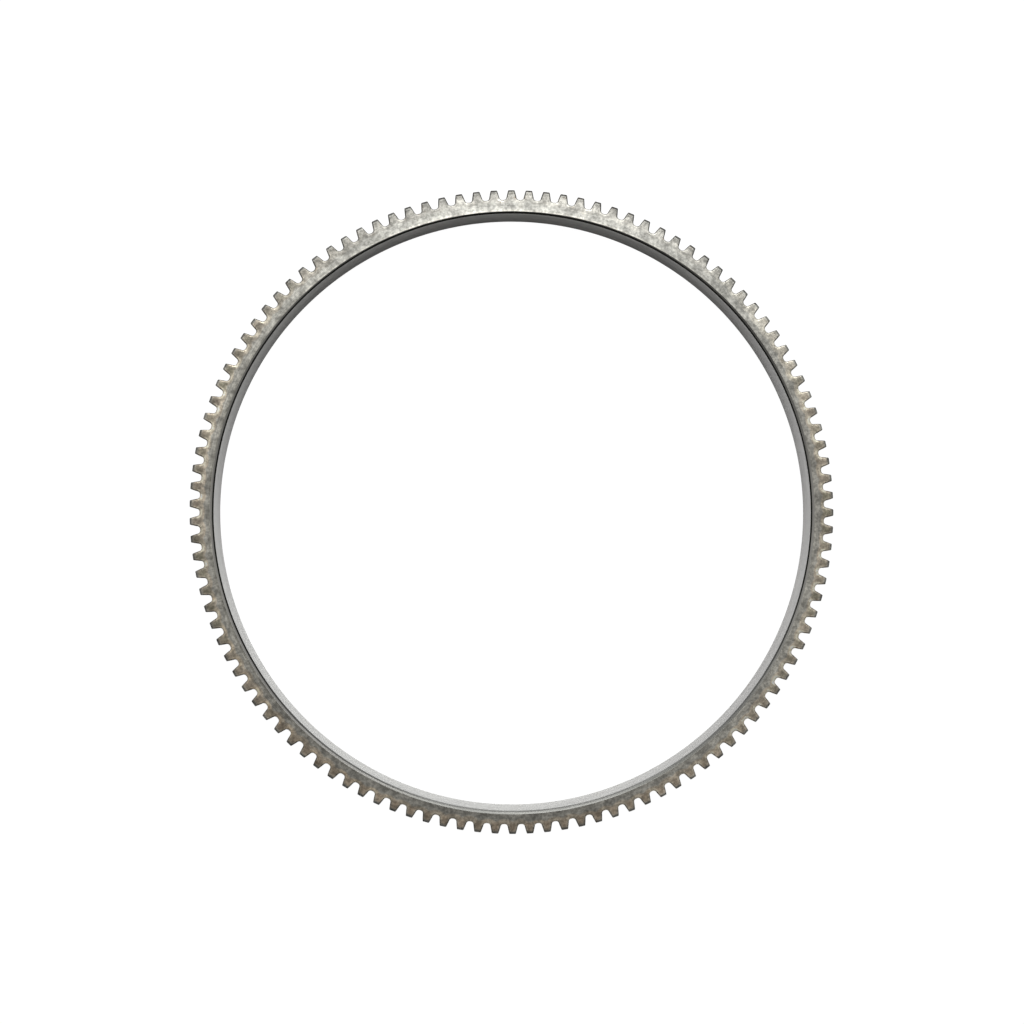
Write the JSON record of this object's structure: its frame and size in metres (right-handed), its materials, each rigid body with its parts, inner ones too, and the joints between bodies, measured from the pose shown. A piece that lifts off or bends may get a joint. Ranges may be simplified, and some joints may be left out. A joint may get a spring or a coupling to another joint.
{
  "type": "flywheel ring gear",
  "caption": "Steel ring gear with stub spur teeth round its outside, bevelled for the starter pinion, and a smooth bore that is shrunk onto a flywheel's rim.",
  "frame": {"origin": "on the bore's axis, in the plane of the back face, which the ring lies on", "axes": "+Z along the bore's axis, from the back face to the front face with the bevelled teeth; +X through the middle of a tooth"},
  "size_m": [0.3702, 0.3702, 0.019],
  "materials": {
    "steel": "turned steel with a satin sheen, tinted straw and brown over the hardened teeth"
  },
  "bodies": {
    "root": {"ring_gear": "steel"}
  },
  "joints": []
}
